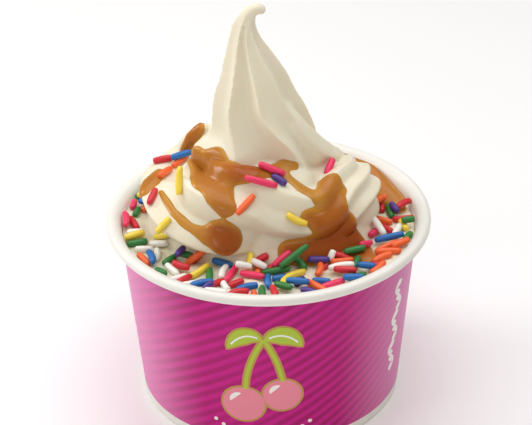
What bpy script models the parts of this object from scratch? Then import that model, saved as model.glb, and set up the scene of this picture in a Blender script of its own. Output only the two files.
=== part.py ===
# A paper cup of soft frozen yogurt. Millimetres are turned to metres by mm(); +Z is up, and the
# origin is the middle of the ring that the cup stands on.
import math

import bmesh
import bpy
import numpy as np
from mathutils import Vector

# Cup
rimRadius = 48.0
rimTop = 58.0
rimRoll = 1.47
footRadius = 38.8
topRadius = 44.2
paper = 0.55
gap = 0.3
seatHeight = 6.5
skirtBottom = 1.0
hemHeight = 5.4
hemBevel = 0.5
hemOutside = 1.65
hemInside = 2.2
hemFoot = 1.9
rimBelow = 1.6
rimInside = 1.0
mouthLap = 0.43
mouthRise = 0.95
skirtThickness = 0.5
segments = 60

# Yogurt
fillLevel = 53.0
fillCorner = 1.2
nozzlePoints = 7
spirePoints = 8
loopGroove = 0.24
spireGroove = 0.31
loopCrease = 0.45
spireCrease = 0.1
crestPower = 0.8
sectionSteps = 56
pathSteps = 5
capBulge = 0.6
voxelSize = 1.1
swirlTriangles = 4900

rimHeight = rimTop - rimRoll

# Ropes of yogurt. A row is across, back, height over the rim, rope radius, share of the full groove
# depth, roll of the star section in degrees, and how far its points spread towards that side.
loop = (
    (-13.0, 15.0, 4.0, 16.0, 1.1, 110.0, 6.0),
    (-22.0, 5.0, 2.0, 17.6, 1.7, 124.0, 46.0),
    (-20.5, -4.5, 3.5, 17.2, 1.7, 108.0, 46.0),
    (-13.0, -10.0, 8.0, 15.4, 1.2, 48.0, 30.0),
    (-3.0, -9.0, 10.5, 13.2, 0.6, 2.0, 4.0),
    (5.5, -9.0, 8.6, 12.6, 0.6, -8.0, 0.0),
    (11.5, -8.0, 7.0, 11.6, 0.8, -4.0, 0.0),
    (17.0, -4.0, 6.4, 11.8, 0.8, 34.0, -14.0),
    (21.6, 2.5, 5.4, 12.5, 0.85, 50.0, -28.0),
    (20.5, 10.5, 0.6, 11.0, 0.8, 66.0, -20.0),
    (9.0, 20.0, -1.0, 12.5, 1.0, 108.0, 0.0),
    (-3.0, 20.0, 1.0, 14.4, 1.0, 117.0, 0.0),
)
# A ridged rope's rows end in how far its left side is pushed out, and the angles of its three front
# ridges in degrees from the front.
tail = (
    (22.0, 9.0, 12.5, 2.4, 1.0, 0.0, -30.0, 0.0, 32.0),
    (19.5, 7.0, 15.8, 3.2, 1.0, 0.0, -30.0, 0.0, 32.0),
    (16.6, 5.0, 17.8, 4.0, 1.0, 0.0, -30.0, 0.0, 32.0),
    (13.0, 1.5, 22.4, 4.3, 1.0, 0.0, -30.0, 0.0, 32.0),
    (9.4, -1.0, 27.6, 4.2, 1.0, 0.0, -30.0, 0.0, 32.0),
    (6.4, -1.4, 32.7, 3.6, 1.0, 0.0, -30.0, 0.0, 32.0),
    (3.2, 2.0, 38.5, 1.8, 1.0, 0.0, -30.0, 0.0, 32.0),
)
spire = (
    (-1.4, 6.0, -14.0, 16.0, 0.4, 0.0, -20.0, 50.0, 70.0),
    (-1.4, 5.0, 2.0, 16.0, 0.6, 0.0, -20.0, 50.0, 70.0),
    (-1.8, 4.5, 9.5, 17.6, 0.7, 0.6, -22.0, 50.0, 80.0),
    (-1.6, 4.5, 16.5, 18.0, 0.6, 2.4, -24.0, 51.0, 78.0),
    (-1.4, 4.5, 21.0, 17.2, 0.65, 3.6, -26.0, 46.0, 66.0),
    (-1.4, 4.5, 25.5, 16.0, 0.7, 3.4, -29.0, 34.0, 60.0),
    (-2.1, 4.5, 30.5, 14.6, 0.8, 0.4, -34.0, 20.0, 54.0),
    (-3.2, 4.5, 36.5, 13.1, 0.9, 0.0, -38.0, 8.0, 47.0),
    (-3.9, 4.5, 43.5, 10.7, 1.0, 0.0, -37.0, 5.0, 42.0),
    (-5.1, 4.5, 50.4, 7.5, 1.0, 0.0, -33.0, 4.0, 39.0),
    (-5.9, 4.5, 55.9, 5.2, 1.0, 0.0, -25.0, 4.0, 37.0),
    (-5.8, 4.5, 60.4, 3.6, 1.0, 0.0, -17.0, 8.0, 36.0),
    (-4.5, 4.5, 63.9, 2.4, 0.6, 0.0, -17.0, 8.0, 36.0),
    (-2.2, 4.5, 65.4, 1.7, 0.3, 0.0, -17.0, 8.0, 36.0),
    (-0.4, 4.5, 64.7, 1.3, 0.0, 0.0, -17.0, 8.0, 36.0),
)
# The other ridges, from the left one on, and each facet's share of the groove depth
spireRidges = (-82.0, 86.0, 131.0, 180.0, 229.0)
spireFacets = (0.75, 1.3, 0.6, 0.9, 0.9, 0.9, 0.9, 0.9)
tailRidges = (-82.0, 110.0, 150.0, 190.0, 235.0)
tailFacets = (0.6, 0.4, 0.4, 0.5, 0.8, 0.8, 0.8, 0.8)
# A lip of yogurt behind the left foot of the peak
lip = (
    (-26.5, 15.5, 11.5, 2.6, 0.0, 0.0, 0.0),
    (-23.5, 15.5, 16.0, 3.0, 0.0, 0.0, 0.0),
    (-21.0, 14.5, 19.6, 2.6, 0.0, 0.0, 0.0),
    (-18.7, 13.0, 22.6, 1.8, 0.0, 0.0, 0.0),
    (-17.4, 12.0, 24.6, 0.7, 0.0, 0.0, 0.0),
)

# The lower ring of yogurt that the loop lies on
ringAcross = 21.0
ringBack = 14.8
ringMiddle = (-1.0, 4.6)
ringHeight = -4.0
ringRope = 13.5
ringStations = 13


def mm(value):
    return value / 1000.0


# Outer radius of the side wall at a height over the table.
def cupRadius(height):
    return footRadius + (topRadius - footRadius) * height / rimHeight


def material(name, colour, roughness):
    made = bpy.data.materials.new(name)
    made.use_nodes = True
    shader = made.node_tree.nodes["Principled BSDF"]
    shader.inputs["Base Color"].default_value = (*colour, 1.0)
    shader.inputs["Roughness"].default_value = roughness
    return made


def addObject(name, mesh, surface, collection):
    made = bpy.data.objects.new(name, mesh)
    collection.objects.link(made)
    mesh.materials.clear()
    mesh.materials.append(surface)
    return made


# A profile of (radius, height) turned about Z by a Screw modifier.
def turned(name, profile, closed, surface, collection):
    mesh = bpy.data.meshes.new(name)
    points = [(mm(radius), 0.0, mm(height)) for radius, height in profile]
    edges = [(i, i + 1) for i in range(len(points) - 1)]
    if closed:
        edges.append((len(points) - 1, 0))
    mesh.from_pydata(points, edges, [])
    made = addObject(name, mesh, surface, collection)
    screw = made.modifiers.new("turn", "SCREW")
    screw.steps = segments
    screw.render_steps = segments
    screw.use_merge_vertices = True
    screw.merge_threshold = 0.00002
    screw.use_smooth_shade = True
    return made


# The object's mesh with its modifiers applied.
def evaluated(source, name):
    depsgraph = bpy.context.evaluated_depsgraph_get()
    mesh = bpy.data.meshes.new_from_object(source.evaluated_get(depsgraph))
    mesh.name = name
    return mesh


# Points on an arc, angles in degrees from the +radius direction.
def arcPoints(middle, radius, start, end, count):
    angles = [math.radians(start + (end - start) * i / (count - 1)) for i in range(count)]
    return [(middle[0] + radius * math.cos(a), middle[1] + radius * math.sin(a)) for a in angles]


def cupWall(collection):
    # Down the outside from the top of the rolled rim, round the folded hem, and up the inside.
    tube = (rimRadius - rimRoll, rimHeight)
    neck = rimHeight - rimBelow
    mouth = rimHeight - rimInside
    profile = arcPoints(tube, rimRoll, 90.0, -150.0, 8)
    profile.append((cupRadius(neck), neck))
    profile.append((cupRadius(hemBevel), hemBevel))
    profile.append((footRadius - hemBevel, 0.0))
    profile.append((footRadius - hemFoot, 0.0))
    profile.append((cupRadius(hemBevel) - hemInside, hemBevel))
    profile.append((cupRadius(hemHeight) - hemInside, hemHeight))
    profile.append((cupRadius(hemHeight) - hemOutside, hemHeight))
    profile.append((cupRadius(paper) - hemOutside, paper))
    profile.append((cupRadius(paper) - paper, paper))
    profile.append((cupRadius(mouth) - paper, mouth))
    profile.append((topRadius + mouthLap, rimHeight + mouthRise))
    printed = material("printed_paper", (0.38, 0.02, 0.17), 0.35)
    return turned("cup_wall", profile, True, printed, collection)


def cupBase(collection):
    seat = cupRadius(seatHeight) - paper - gap
    skirt = cupRadius(skirtBottom) - paper - gap
    profile = (
        (0.0, seatHeight),
        (seat, seatHeight),
        (skirt, skirtBottom),
        (skirt - skirtThickness, skirtBottom),
        (cupRadius(seatHeight - paper) - paper - gap - skirtThickness, seatHeight - paper),
        (0.0, seatHeight - paper),
    )
    board = material("white_board", (0.86, 0.85, 0.82), 0.5)
    return turned("cup_base", profile, False, board, collection)


# Catmull-Rom curve through the rows, all columns together.
def smoothPath(rows, closed):
    rows = np.array(rows, float)
    if closed:
        padded = np.vstack([rows[-1], rows, rows[:2]])
    else:
        padded = np.vstack([2 * rows[0] - rows[1], rows, 2 * rows[-1] - rows[-2]])
    stations = []
    for before, first, second, after in zip(padded, padded[1:], padded[2:], padded[3:]):
        for t in np.arange(pathSteps) / pathSteps:
            cubic = 3 * first - before - 3 * second + after
            square = 2 * before - 5 * first + 4 * second - after
            stations.append(first + 0.5 * (t * (second - before) + t * t * square + t ** 3 * cubic))
    stations.append(padded[-2])
    return np.array(stations)


def unitRows(vectors):
    return vectors / np.linalg.norm(vectors, axis=1)[:, None]


# How deep the grooves are round a section with ridges, from 0 on a ridge to 1 between two.
def grooveDepths(points, crease):
    half = points * np.linspace(0.0, math.pi, sectionSteps, endpoint=False)
    return crease * (1.0 - np.abs(np.cos(half))) + (1.0 - crease) * np.abs(np.sin(half))


# Directions of a star section's points, rolled and spread by its row.
def starAngles(row):
    turn = np.linspace(0.0, 2.0 * math.pi, sectionSteps, endpoint=False)
    return turn + math.radians(row[5]) + math.radians(row[6]) * np.sin(turn)


# Directions of the section's points where each ridge has an angle of its own.
def ridgeAngles(row, ridges):
    crests = (ridges[0], *row[6:], *ridges[1:], ridges[0] + 360.0)
    place = np.linspace(0.0, spirePoints, sectionSteps, endpoint=False)
    return np.radians(np.interp(place, range(len(crests)), crests))


# A rope through the rows with the groove depths given. Angle 0 points away from the axis, or towards the
# front where the ridges have angles of their own.
def rope(bm, rows, depths, ridges=(), closed=False):
    stations = smoothPath(rows, closed)
    middle = stations[:, :3] + (0.0, 0.0, rimHeight)
    along = unitRows(np.gradient(middle, axis=0))
    if ridges:
        first = unitRows(np.array([0, -1, 0]) + along * along[:, 1:2])
        second = np.cross(along, first)
    else:
        second = unitRows(np.array([0, 0, 1]) - along * along[:, 2:3])
        first = np.cross(along, second)
    rings = []
    for i, row in enumerate(stations):
        reach = row[3] * (1.0 - row[4] * depths)
        if ridges:
            angle = ridgeAngles(row, ridges)
            reach += row[5] * np.maximum(-np.sin(angle), 0.0) ** 2
        else:
            angle = starAngles(row)
        offsets = np.outer(np.cos(angle) * reach, first[i]) + np.outer(np.sin(angle) * reach, second[i])
        rings.append([bm.verts.new(Vector(p) / 1000.0) for p in middle[i] + offsets])
    for ring, following in zip(rings, rings[1:]):
        for k in range(sectionSteps):
            j = (k + 1) % sectionSteps
            bm.faces.new((ring[k], ring[j], following[j], following[k]))
    for ring, i, side in ((rings[0], 0, -1.0), (rings[-1], -1, 1.0)):
        tip = bm.verts.new(Vector(middle[i] + along[i] * side * stations[i, 3] * capBulge) / 1000.0)
        for k in range(sectionSteps):
            j = (k + 1) % sectionSteps
            bm.faces.new((ring[k], ring[j], tip) if side > 0 else (ring[j], ring[k], tip))


# The lower ring as a closed round of stations, counter-clockwise.
def ringRows():
    rows = []
    for i in range(ringStations):
        angle = 2.0 * math.pi * i / (ringStations - 1)
        across = ringMiddle[0] + ringAcross * math.cos(angle)
        back = ringMiddle[1] + ringBack * math.sin(angle)
        rows.append((across, back, ringHeight, ringRope, 0.5, 50.0, 0.0))
    return rows


# The piped ropes, grown together into one skin by Remesh and then thinned out.
def swirl(surface, collection):
    bm = bmesh.new()
    folds = loopGroove * grooveDepths(nozzlePoints, loopCrease)
    rope(bm, loop, folds, closed=True)
    rope(bm, ringRows(), folds)
    facets = spireGroove * grooveDepths(spirePoints, spireCrease) ** crestPower
    each = sectionSteps // spirePoints
    rope(bm, tail, facets * np.repeat(tailFacets, each), tailRidges)
    rope(bm, spire, facets * np.repeat(spireFacets, each), spireRidges)
    rope(bm, lip, np.zeros(sectionSteps))
    bmesh.ops.recalc_face_normals(bm, faces=bm.faces)
    mesh = bpy.data.meshes.new("swirl")
    bm.to_mesh(mesh)
    bm.free()
    made = addObject("swirl", mesh, surface, collection)
    skin = made.modifiers.new("skin", "REMESH")
    skin.mode = "VOXEL"
    skin.voxel_size = mm(voxelSize)
    full = sum(len(face.vertices) - 2 for face in evaluated(made, "full").polygons)
    thin = made.modifiers.new("thin", "DECIMATE")
    thin.ratio = swirlTriangles / full
    return made


# The cup's filling, joined with the swirl that stands on it.
def yogurt(collection, tools):
    cream = material("frozen_yogurt", (0.83, 0.76, 0.62), 0.4)
    bottom = seatHeight + gap
    side = paper + gap
    base = cupRadius(skirtBottom) - paper - gap
    profile = (
        (0.0, fillLevel),
        (cupRadius(fillLevel) - side - fillCorner, fillLevel),
        (cupRadius(fillLevel) - side, fillLevel - fillCorner),
        (cupRadius(bottom) - side, bottom),
        (base - fillCorner, bottom),
        (0.0, bottom),
    )
    filling = turned("yogurt", profile, False, cream, collection)
    top = swirl(cream, tools)
    top.hide_render = True
    top.display_type = "WIRE"
    union = filling.modifiers.new("swirl", "BOOLEAN")
    union.operation = "UNION"
    union.object = top
    return filling


def main():
    for item in list(bpy.data.objects):
        bpy.data.objects.remove(item, do_unlink=True)
    parts = bpy.data.collections.new("frozen_yogurt_cup")
    tools = bpy.data.collections.new("cutters")
    bpy.context.scene.collection.children.link(parts)
    bpy.context.scene.collection.children.link(tools)
    cupWall(parts)
    cupBase(parts)
    yogurt(parts, tools)


main()
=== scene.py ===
import math

import bmesh
import bpy
import numpy as np
from mathutils import Matrix, Vector, noise
from mathutils.bvhtree import BVHTree


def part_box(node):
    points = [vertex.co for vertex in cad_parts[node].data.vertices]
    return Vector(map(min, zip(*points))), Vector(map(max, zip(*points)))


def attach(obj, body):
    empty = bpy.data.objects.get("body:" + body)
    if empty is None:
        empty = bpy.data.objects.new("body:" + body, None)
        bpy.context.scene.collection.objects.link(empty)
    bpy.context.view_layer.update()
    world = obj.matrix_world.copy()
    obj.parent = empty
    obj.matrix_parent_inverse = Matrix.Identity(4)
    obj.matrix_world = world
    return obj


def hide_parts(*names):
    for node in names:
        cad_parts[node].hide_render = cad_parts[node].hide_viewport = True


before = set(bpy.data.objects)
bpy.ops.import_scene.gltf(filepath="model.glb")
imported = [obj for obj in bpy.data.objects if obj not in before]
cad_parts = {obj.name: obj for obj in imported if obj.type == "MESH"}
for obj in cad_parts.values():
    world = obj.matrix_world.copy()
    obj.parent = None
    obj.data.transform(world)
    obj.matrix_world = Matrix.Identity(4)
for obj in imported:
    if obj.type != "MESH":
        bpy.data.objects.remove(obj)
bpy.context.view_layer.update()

# A paper cup of soft frozen yogurt with caramel sauce and sprinkles. Lengths are in millimetres until
# a mesh is made. Angles round the cup are 0 at the front (-Y) and grow to the right.
scene = bpy.context.scene


def mm(value):
    return value / 1000.0


# An sRGB hex colour as linear red, green, blue and alpha.
def linear(hexColour):
    parts = [int(hexColour[i:i + 2], 16) / 255.0 for i in (0, 2, 4)]
    parts = [p / 12.92 if p <= 0.04045 else ((p + 0.055) / 1.055) ** 2.4 for p in parts]
    return (*parts, 1.0)


# Adds a node. A setting is named in small letters, as the node has it. An input is named with a capital
# and _ for a space, or numbered, as n0, and gets a node's first output, a socket or a plain value.
def addNode(tree, kind, **given):
    made = tree.nodes.new(kind)
    for key, value in given.items():
        numbered = key[1:].isdigit()
        if key.islower() and not numbered:
            setattr(made, key, value)
            continue
        target = made.inputs[int(key[1:]) if numbered else key.replace("_", " ")]
        value = value.outputs[0] if isinstance(value, bpy.types.Node) else value
        if isinstance(value, bpy.types.NodeSocket):
            tree.links.new(value, target)
        else:
            target.default_value = value
    return made


# A material with its Principled shader's plain values set. Clouds are two tones, mm across and detail of
# the noise between them. Relief is mm across, mm high and detail of the grains.
def newMaterial(name, clouds=None, relief=None, **values):
    made = bpy.data.materials.new(name)
    made.use_nodes = True
    tree = made.node_tree
    shader = tree.nodes["Principled BSDF"]
    for key, value in values.items():
        shader.inputs[key.replace("_", " ")].default_value = value
    if clouds or relief:
        place = addNode(tree, "ShaderNodeTexCoord").outputs["Object"]
    if clouds:
        first, second, size, detail = clouds
        noisy = addNode(tree, "ShaderNodeTexNoise", Vector=place, Scale=1000.0 / size, Detail=detail)
        tone = addNode(tree, "ShaderNodeMix", data_type="RGBA", n0=noisy, n6=first, n7=second)
        tree.links.new(tone.outputs[2], shader.inputs["Base Color"])
    if relief:
        size, height, detail = relief
        grains = addNode(tree, "ShaderNodeTexNoise", Vector=place, Scale=1000.0 / size, Detail=detail)
        bump = addNode(tree, "ShaderNodeBump", Height=grains, Distance=mm(height), Strength=1.0)
        tree.links.new(bump.outputs["Normal"], shader.inputs["Normal"])
    return made


def addPiece(name, points, faces, materials, smooth=True):
    mesh = bpy.data.meshes.new(name)
    mesh.from_pydata([tuple(p) for p in np.asarray(points) / 1000.0], [], faces)
    mesh.update()
    for surface in materials:
        mesh.materials.append(surface)
    if smooth:
        mesh.shade_smooth()
    made = bpy.data.objects.new(name, mesh)
    scene.collection.objects.link(made)
    return made


# Turns the piece into the plain mesh that its modifiers make.
def applyModifiers(piece):
    depsgraph = bpy.context.evaluated_depsgraph_get()
    mesh = bpy.data.meshes.new_from_object(piece.evaluated_get(depsgraph))
    piece.modifiers.clear()
    piece.data = mesh
    mesh.name = piece.name


def recalculateNormals(mesh):
    bm = bmesh.new()
    bm.from_mesh(mesh)
    bmesh.ops.recalc_face_normals(bm, faces=bm.faces)
    bm.to_mesh(mesh)
    bm.free()


# Faces of a closed shell: the upper ones, the same ones turned over, count further on, and the sides.
def closedShell(faces, count):
    shell = faces + [tuple(i + count for i in reversed(f)) for f in faces]
    edges = {(f[i], f[(i + 1) % 4]): True for f in faces for i in range(4)}
    for a, b in edges:
        if (b, a) not in edges:
            shell.append((b, a, a + count, b + count))
    return shell


def softStep(value, low, high):
    t = np.clip((np.asarray(value, float) - low) / (high - low), 0.0, 1.0)
    return t * t * (3.0 - 2.0 * t)


# Camera, light and floor
view = {
    "middle": (0.0, 0.0, 56.5),  # what the camera circles round
    "distance": 622.8,  # mm, like every length here
    "elevation": 30.48,  # degrees
    "roll": -1.0,  # degrees
    "lens": 142.3,
    "aim": (-0.73, 0.55, 57.45),
    "lampAim": (0.0, 0.0, 60.0),
    "worldStrength": 0.32,
    "worldColour": "FFF8EC",
    "floorSide": 5000.0,
}
lights = {
    # name: place in mm, side in mm, watts, colour
    "window": ((-540.0, 160.0, 380.0), 240.0, 1.45, "FCFDFF"),
    "corner": ((-400.0, -330.0, 430.0), 200.0, 0.25, "FFFFFF"),
    "front": ((-200.0, -620.0, 170.0), 200.0, 0.37, "FFFFFF"),
    "sky": ((60.0, 60.0, 760.0), 900.0, 5.35, "F8FAFF"),
}


def buildStage():
    elevation = math.radians(view["elevation"])
    away = Vector((0.0, -math.cos(elevation), math.sin(elevation)))
    camera = bpy.data.objects.new("camera", bpy.data.cameras.new("camera"))
    scene.collection.objects.link(camera)
    camera.data.sensor_width = 36.0
    camera.data.lens = view["lens"]
    camera.data.clip_start = 0.01
    place = Vector(view["middle"]) + away * view["distance"]
    looking = (place - Vector(view["aim"])).to_track_quat("Z", "Y").to_matrix()
    turned = looking @ Matrix.Rotation(math.radians(view["roll"]), 3, "Z")
    camera.matrix_world = Matrix.Translation(place / 1000.0) @ turned.to_4x4()
    scene.camera = camera
    for name, (place, side, watts, colour) in lights.items():
        away = Vector(place) - Vector(view["lampAim"])
        lamp = bpy.data.lights.new(name, "AREA")
        lamp.size = mm(side)
        lamp.energy = watts
        lamp.color = linear(colour)[:3]
        stand = bpy.data.objects.new(name, lamp)
        scene.collection.objects.link(stand)
        stand.visible_camera = False
        stand.location = Vector(place) / 1000.0
        stand.rotation_euler = away.to_track_quat("Z", "Y").to_euler()
    world = bpy.data.worlds.new("studio")
    world.use_nodes = True
    background = world.node_tree.nodes["Background"]
    background.inputs["Color"].default_value = linear(view["worldColour"])
    background.inputs["Strength"].default_value = view["worldStrength"]
    scene.world = world
    scene.view_settings.view_transform = "Standard"
    side, low = view["floorSide"] / 2.0, -0.02  # just under the foot
    corners = [(-side, -side, low), (side, -side, low), (side, side, low), (-side, side, low)]
    # a table painted matt white, so it throws back soft light and no image
    white = newMaterial("matteWhiteTable", Roughness=0.6, Base_Color=linear("FBFAF9"))
    floor = addPiece("floor", corners, [(0, 1, 2, 3)], [white], smooth=False)
    print("stage: camera, lights and floor")


# Cup: one strip of paper, rolled outwards at the rim and folded inwards at the foot
cup = {
    "rimRadius": 48.0,
    "rimRoll": 1.47,
    "footRadius": 38.8,
    "topRadius": 44.2,
    "paper": 0.55,
    "rimBelow": 1.6,  # where the wall comes out of the roll
    "rimInside": 1.0,
    "rollAngles": (90.0, -150.0),  # degrees round the roll
    "mouthLap": 0.43,
    "mouthRise": 0.95,
    "footRounding": (0.9, 0.35),  # heights at which the fold begins to turn
    "footEdge": (0.45, 1.9),  # the fold's flat underside, in from the foot's radius
    "hem": (1.65, 2.2),  # outer and inner face of the folded layer, in from the wall
    "hemHeights": (0.6, 5.4),
    "whiteFoot": 3.2,  # unprinted band at the foot
    "seamAngle": 2.62,  # radians, where the paper's ends overlap
    "seamWidth": 0.16,  # radians
    "seamSlope": 0.14,  # radians over which it runs out at both sides
    "seamThick": 0.32,
    "columns": 180,
    "sharpFrom": 50.0,  # degrees
}
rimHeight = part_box("cup_wall")[1].z * 1000.0 - cup["rimRoll"]  # middle of the rolled rim
printed = {
    "light": "C81487",
    "dark": "A8086A",
    # pale: the colour of the painted sheen at the sides
    "pale": "F2A2D2",
    "paintedSheen": 0.6,  # how far the print is washed towards the pale colour at the sides: a painted sheen, as seen from the front
    "paintedSheenFrom": 0.45,  # sine of the angle from the front at which the painted sheen begins
    "stripes": 43,  # round the cup
    "rise": 0.61,  # mm up for each mm to the right
    "riseAt": 28.0,  # height at which that holds
    "softness": 0.75,  # of the stripes' edges
    "contrast": 1.6,
    "clouds": 30.0,  # mm across, where the stripes are stronger
    "fibres": (0.9, 0.012, 4.0),  # mm across, mm high, detail
}


def wallRadius(height):
    return cup["footRadius"] + (cup["topRadius"] - cup["footRadius"]) * height / rimHeight


# Across and back of a place so far from the axis, at an angle round the cup.
def roundCup(radius, angle):
    return radius * math.sin(angle), -radius * math.cos(angle)


# Round the paper's section, from the top of the roll down the outside and up the inside. A row is
# radius, height, material of the strip after it (0 printed, 1 white), and side: 1 outside, 0 edge,
# -1 inside.
def paperRows():
    roll, middle = cup["rimRoll"], cup["rimRadius"] - cup["rimRoll"]
    rows = []
    for angle in np.radians(np.linspace(*cup["rollAngles"], 15)):
        rows.append((middle + roll * math.cos(angle), rimHeight + roll * math.sin(angle), 1, 1))
    for height in np.linspace(rimHeight - cup["rimBelow"], cup["whiteFoot"] + 0.02, 30):
        rows.append((wallRadius(height), height, 0, 1))
    for height in (cup["whiteFoot"], *cup["footRounding"]):
        rows.append((wallRadius(height), height, 1, 1))
    outer, inner = cup["footEdge"]
    rows.append((cup["footRadius"] - outer, 0.0, 1, 1))
    rows.append((cup["footRadius"] - inner, 0.0, 1, 0))
    outer, inner = cup["hem"]
    for height in cup["hemHeights"]:
        rows.append((wallRadius(height) - inner, height, 1, 0))
    for height in (cup["hemHeights"][1], cup["paper"]):
        rows.append((wallRadius(height) - outer, height, 1, 0))
    for height in np.linspace(cup["paper"], rimHeight - cup["rimInside"], 12):
        rows.append((wallRadius(height) - cup["paper"], height, 1, -1))
    rows.append((cup["topRadius"] + cup["mouthLap"], rimHeight + cup["mouthRise"], 1, -1))
    return rows


def buildCup():
    rows = paperRows()
    seam, wide, slope = cup["seamAngle"], cup["seamWidth"], cup["seamSlope"]
    angles = list(np.linspace(0.0, 2.0 * math.pi, cup["columns"], endpoint=False))
    # two more close together at each end of the paper, for its step
    angles = sorted(angles + [edge + near for edge in (seam, seam + wide) for near in (-0.002, 0.002)])
    points, faces, surfaces = [], [], []
    for angle in angles:
        over = (angle > seam) * (1.0 - softStep(angle, seam + wide, seam + wide + slope))
        under = (angle < seam + wide) * softStep(angle, seam - slope, seam)
        for radius, height, _, side in rows:
            radius += cup["seamThick"] * (over if side > 0 else -under if side < 0 else 0.0)
            points.append((*roundCup(radius, angle), height))
    for k in range(len(angles)):
        after = (k + 1) % len(angles)
        for i in range(len(rows)):
            j = (i + 1) % len(rows)
            corners = (k, i), (k, j), (after, j), (after, i)
            faces.append([column * len(rows) + row for column, row in corners])
            surfaces.append(rows[i][2])
    wall = addPiece("paperCup", points, faces, [printedPaper(), whitePaper()])
    wall.data.polygons.foreach_set("material_index", surfaces)
    wall.data.set_sharp_from_angle(angle=math.radians(cup["sharpFrom"]))
    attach(wall, "root")
    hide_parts("cup_wall")
    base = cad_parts["cup_base"]
    base.data.materials.clear()
    base.data.materials.append(whitePaper())
    print("cup: wall, rim, foot and base")


# Clay-coated paperboard, offset printed in magenta: an even gloss over faint fibres. Towards the sides
# the colour is washed pale, a painted sheen as seen from the front.
def printedPaper():
    made = newMaterial("coatedPaperPrintedMagenta", relief=printed["fibres"], Roughness=0.45,
                       Coat_Weight=0.15, Coat_Roughness=0.3, Specular_IOR_Level=0.15)
    tree = made.node_tree
    place = addNode(tree, "ShaderNodeTexCoord").outputs["Object"]
    axes = addNode(tree, "ShaderNodeSeparateXYZ", Vector=place).outputs
    front = addNode(tree, "ShaderNodeMath", operation="MULTIPLY", n0=axes["Y"], n1=-1.0)
    angle = addNode(tree, "ShaderNodeMath", operation="ARCTAN2", n0=axes["X"], n1=front)
    around = addNode(tree, "ShaderNodeMath", operation="MULTIPLY", n0=angle, n1=float(printed["stripes"]))
    # mm that a stripe climbs while it passes the place of the next one
    climb = 2.0 * math.pi * wallRadius(printed["riseAt"]) / printed["stripes"] * printed["rise"]
    turns = 2.0 * math.pi * 1000.0 / climb
    upwards = addNode(tree, "ShaderNodeMath", operation="MULTIPLY", n0=axes["Z"], n1=turns)
    phase = addNode(tree, "ShaderNodeMath", operation="SUBTRACT", n0=upwards, n1=around)
    wave = addNode(tree, "ShaderNodeMath", operation="SINE", n0=phase)
    soft = addNode(tree, "ShaderNodeMapRange", interpolation_type="SMOOTHSTEP", Value=wave,
                   From_Min=-printed["softness"], From_Max=printed["softness"])
    size = printed["clouds"]
    broad = addNode(tree, "ShaderNodeTexNoise", Vector=place, Scale=1000.0 / size, Detail=1.0)
    share = addNode(tree, "ShaderNodeMath", operation="MULTIPLY", n0=soft, n1=broad)
    more = addNode(tree, "ShaderNodeMath", operation="MULTIPLY", n0=share, n1=printed["contrast"])
    tint = addNode(tree, "ShaderNodeMix", data_type="RGBA", n0=more, n6=linear(printed["light"]),
                   n7=linear(printed["dark"]))
    # Painted sheen: the print is washed towards the pale colour with the sine of the angle from the
    # front, so the sides seen from the front look glossy.
    across = addNode(tree, "ShaderNodeMath", operation="SINE", n0=angle)
    aside = addNode(tree, "ShaderNodeMath", operation="ABSOLUTE", n0=across)
    paintedSheen = addNode(tree, "ShaderNodeMapRange", interpolation_type="SMOOTHSTEP", Value=aside,
                   From_Min=printed["paintedSheenFrom"], From_Max=1.0, To_Max=printed["paintedSheen"])
    withPaintedSheen = addNode(tree, "ShaderNodeMix", data_type="RGBA", n0=paintedSheen, n6=tint.outputs[2],
                    n7=linear(printed["pale"]))
    tree.links.new(withPaintedSheen.outputs[2], tree.nodes["Principled BSDF"].inputs["Base Color"])
    return made


# The same board where it has no print: white clay coat, satin, with faint fibres.
def whitePaper():
    return newMaterial("whiteCoatedPaper", (linear("EAE7DE"), linear("F0EEE7"), 6.0, 3.0),
                       (0.7, 0.015, 4.0), Roughness=0.42)


# Print on the wall: cherries with leaves at the front and back, a climbing tendril at both sides, and
# an arc of dots below the cherries. Places are mm to the right of the motif's middle and mm up.
motif = {
    "turns": (-4.0, 206.0),  # degrees round the cup
    "tendrilTurns": (61.0, 271.0),
    "cherries": ((-5.3, 17.0, 6.2), (6.0, 20.6, 5.6)),
    "stems": (((-4.6, 22.6), (-4.4, 32.0), (1.0, 41.0)), ((6.2, 25.6), (5.0, 34.0), (1.0, 41.0))),
    # three places of the middle line, and the half width
    "leaves": (
        ((1.0, 40.6), (7.0, 45.4), (12.0, 38.0), 2.9),
        ((0.6, 40.8), (-5.0, 45.0), (-9.6, 37.0), 2.6),
    ),
    "stem": 0.55,
    "vein": 0.28,
    "outline": 0.65,
    "shine": (100.0, 170.0, 0.64, 0.75),  # two angles, its place's share of the radius, half width
    "dots": (13, 14.0, 4.4, 5.2, 0.62),  # count, half the arc's width, height, rise of its ends, radius
    "tendril": (14.0, 47.0, 2.0, 11.0, 0.5),  # low, high, swing, length of a wave, half width
    "curls": ((3.42, 2.22, 0.81), (2.88, -1.56, -1.08)),  # reach, rise of the tip and of the middle
    "sharpFrom": 40.0,  # degrees
    "columns": 9,
    "proud": {"Gold": 0.03, "Pink": 0.06, "Lime": 0.06, "White": 0.09},  # mm over the wall
    "sunk": 0.12,  # mm into the wall
    "deeper": 0.93,  # the ink's darker clouds
    "inks": {"Gold": "C09A45", "Pink": "F08C9E", "Lime": "B4CC36", "White": "FBF7F2"},
}


def bent(first, second, third, count=17):
    t = np.linspace(0.0, 1.0, count)[:, None]
    return (1 - t) ** 2 * np.array(first) + 2 * t * (1 - t) * np.array(second) + t ** 2 * np.array(third)


# A width that is nothing at both ends and 1 in the middle. A power below 1 makes the ends blunter.
def swell(count, power):
    return np.sin(np.linspace(0.0, math.pi, count)) ** power


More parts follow.
